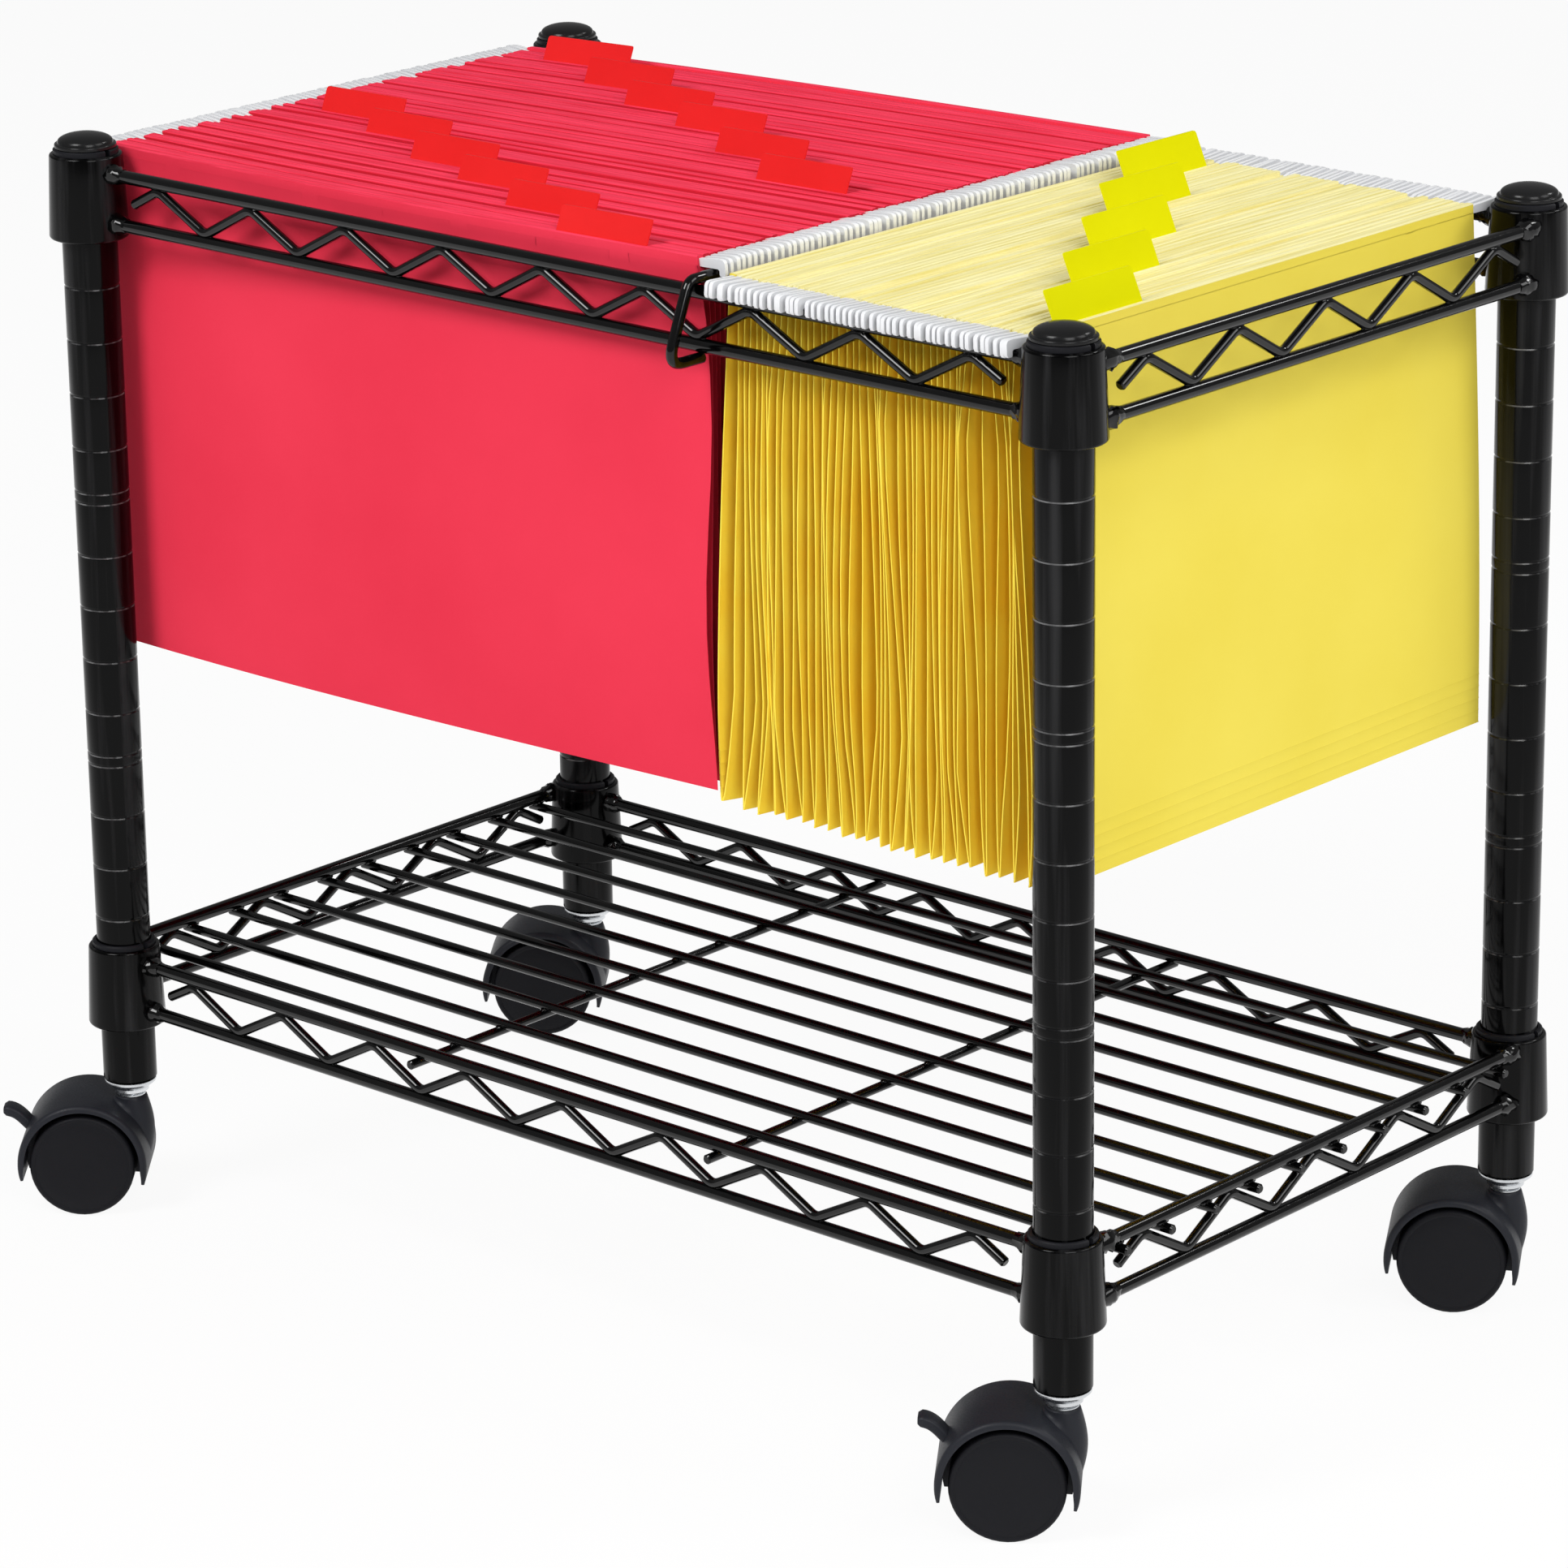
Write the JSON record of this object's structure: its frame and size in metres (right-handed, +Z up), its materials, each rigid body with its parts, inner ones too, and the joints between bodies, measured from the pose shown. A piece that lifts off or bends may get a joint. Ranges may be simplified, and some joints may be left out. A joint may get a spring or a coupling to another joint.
{
  "type": "mobile file cart",
  "caption": "Wire file cart on twin-wheel swivel casters: grooved posts carry a wire shelf below and a file frame above, with a divider bar and two packs of hanging folders.",
  "frame": {"origin": "middle of the cart's bounding box on the floor, under the wheels' lowest flats", "axes": "+X along the cart's long side to the right, +Y to the back, +Z up"},
  "size_m": [0.6496, 0.3942, 0.5246],
  "materials": {
    "black_coat": "gloss black powder coat",
    "black_plastic": "moulded black nylon",
    "zinc_plate": "bright zinc plate",
    "red_card": "smooth coloured card",
    "yellow_card": "smooth coloured card"
  },
  "bodies": {
    "cart_frame": {"post_front_left": "black_coat", "cap_front_left": "black_plastic", "upper_collar_front_left": "black_coat", "upper_sleeve_front_left": "black_plastic", "lower_collar_front_left": "black_coat", "lower_sleeve_front_left": "black_plastic", "caster_stem_front_left": "zinc_plate", "post_front_right": "black_coat", "cap_front_right": "black_plastic", "upper_collar_front_right": "black_coat", "upper_sleeve_front_right": "black_plastic", "lower_collar_front_right": "black_coat", "lower_sleeve_front_right": "black_plastic", "caster_stem_front_right": "zinc_plate", "post_back_left": "black_coat", "cap_back_left": "black_plastic", "upper_collar_back_left": "black_coat", "upper_sleeve_back_left": "black_plastic", "lower_collar_back_left": "black_coat", "lower_sleeve_back_left": "black_plastic", "caster_stem_back_left": "zinc_plate", "post_back_right": "black_coat", "cap_back_right": "black_plastic", "upper_collar_back_right": "black_coat", "upper_sleeve_back_right": "black_plastic", "lower_collar_back_right": "black_coat", "lower_sleeve_back_right": "black_plastic", "caster_stem_back_right": "zinc_plate", "upper_front_truss": "black_coat", "upper_back_truss": "black_coat", "upper_left_truss": "black_coat", "upper_right_truss": "black_coat", "lower_front_truss": "black_coat", "lower_back_truss": "black_coat", "lower_left_truss": "black_coat", "lower_right_truss": "black_coat", "shelf_wires": "black_coat"},
    "swivel_front_left": {"caster_hood_front_left": "black_plastic", "caster_axle_front_left": "zinc_plate"},
    "wheel_front_left_a": {"caster_wheel_front_left_a": "black_plastic"},
    "wheel_front_left_b": {"caster_wheel_front_left_b": "black_plastic"},
    "swivel_front_right": {"caster_hood_front_right": "black_plastic", "caster_axle_front_right": "zinc_plate"},
    "wheel_front_right_a": {"caster_wheel_front_right_a": "black_plastic"},
    "wheel_front_right_b": {"caster_wheel_front_right_b": "black_plastic"},
    "swivel_back_left": {"caster_hood_back_left": "black_plastic", "caster_axle_back_left": "zinc_plate"},
    "wheel_back_left_a": {"caster_wheel_back_left_a": "black_plastic"},
    "wheel_back_left_b": {"caster_wheel_back_left_b": "black_plastic"},
    "swivel_back_right": {"caster_hood_back_right": "black_plastic", "caster_axle_back_right": "zinc_plate"},
    "wheel_back_right_a": {"caster_wheel_back_right_a": "black_plastic"},
    "wheel_back_right_b": {"caster_wheel_back_right_b": "black_plastic"},
    "brake_front_left": {"brake_lever_front_left": "black_plastic"},
    "brake_front_right": {"brake_lever_front_right": "black_plastic"},
    "divider": {"divider_bar": "black_coat"},
    "red_pack": {"red_folders": "red_card"},
    "yellow_pack": {"yellow_folders": "yellow_card"}
  },
  "joints": [
    {"name": "swivel_turn_front_left", "type": "hinge", "parent": "cart_frame", "child": "swivel_front_left", "pos_m": [-0.26859, -0.14475, 0.045], "axis": [0, 0, 1], "continuous": true},
    {"name": "wheel_spin_front_left_a", "type": "hinge", "parent": "swivel_front_left", "child": "wheel_front_left_a", "pos_m": [-0.28558, -0.15951, 0.025], "axis": [0.6561, -0.7547, 0], "continuous": true},
    {"name": "wheel_spin_front_left_b", "type": "hinge", "parent": "swivel_front_left", "child": "wheel_front_left_b", "pos_m": [-0.28558, -0.15951, 0.025], "axis": [0.6561, -0.7547, 0], "continuous": true},
    {"name": "swivel_turn_front_right", "type": "hinge", "parent": "cart_frame", "child": "swivel_front_right", "pos_m": [0.3044, -0.14475, 0.045], "axis": [0, 0, 1], "continuous": true},
    {"name": "wheel_spin_front_right_a", "type": "hinge", "parent": "swivel_front_right", "child": "wheel_front_right_a", "pos_m": [0.28644, -0.15829, 0.025], "axis": [0.6018, -0.7986, 0], "continuous": true},
    {"name": "wheel_spin_front_right_b", "type": "hinge", "parent": "swivel_front_right", "child": "wheel_front_right_b", "pos_m": [0.28644, -0.15829, 0.025], "axis": [0.6018, -0.7986, 0], "continuous": true},
    {"name": "swivel_turn_back_left", "type": "hinge", "parent": "cart_frame", "child": "swivel_back_left", "pos_m": [-0.26859, 0.17325, 0.045], "axis": [0, 0, 1], "continuous": true},
    {"name": "wheel_spin_back_left_a", "type": "hinge", "parent": "swivel_back_left", "child": "wheel_back_left_a", "pos_m": [-0.28632, 0.1594, 0.025], "axis": [0.6157, -0.788, 0], "continuous": true},
    {"name": "wheel_spin_back_left_b", "type": "hinge", "parent": "swivel_back_left", "child": "wheel_back_left_b", "pos_m": [-0.28632, 0.1594, 0.025], "axis": [0.6157, -0.788, 0], "continuous": true},
    {"name": "swivel_turn_back_right", "type": "hinge", "parent": "cart_frame", "child": "swivel_back_right", "pos_m": [0.3044, 0.17325, 0.045], "axis": [0, 0, 1], "continuous": true},
    {"name": "wheel_spin_back_right_a", "type": "hinge", "parent": "swivel_back_right", "child": "wheel_back_right_a", "pos_m": [0.28532, 0.16133, 0.025], "axis": [0.5299, -0.848, 0], "continuous": true},
    {"name": "wheel_spin_back_right_b", "type": "hinge", "parent": "swivel_back_right", "child": "wheel_back_right_b", "pos_m": [0.28532, 0.16133, 0.025], "axis": [0.5299, -0.848, 0], "continuous": true},
    {"name": "brake_press_front_left", "type": "hinge", "parent": "swivel_front_left", "child": "brake_front_left", "pos_m": [-0.29917, -0.17133, 0.0354], "axis": [0.6561, -0.7547, 0], "range_deg": [0, 20]},
    {"name": "brake_press_front_right", "type": "hinge", "parent": "swivel_front_right", "child": "brake_front_right", "pos_m": [0.27205, -0.16913, 0.0354], "axis": [0.6018, -0.7986, 0], "range_deg": [0, 20]},
    {"name": "divider_slide", "type": "slide", "parent": "cart_frame", "child": "divider", "axis": [1, 0, 0], "range_m": [-0.001, 0.001]},
    {"name": "red_lift", "type": "slide", "parent": "cart_frame", "child": "red_pack", "axis": [0, 0, 1], "range_m": [0, 0.25]},
    {"name": "yellow_lift", "type": "slide", "parent": "cart_frame", "child": "yellow_pack", "axis": [0, 0, 1], "range_m": [0, 0.25]}
  ]
}
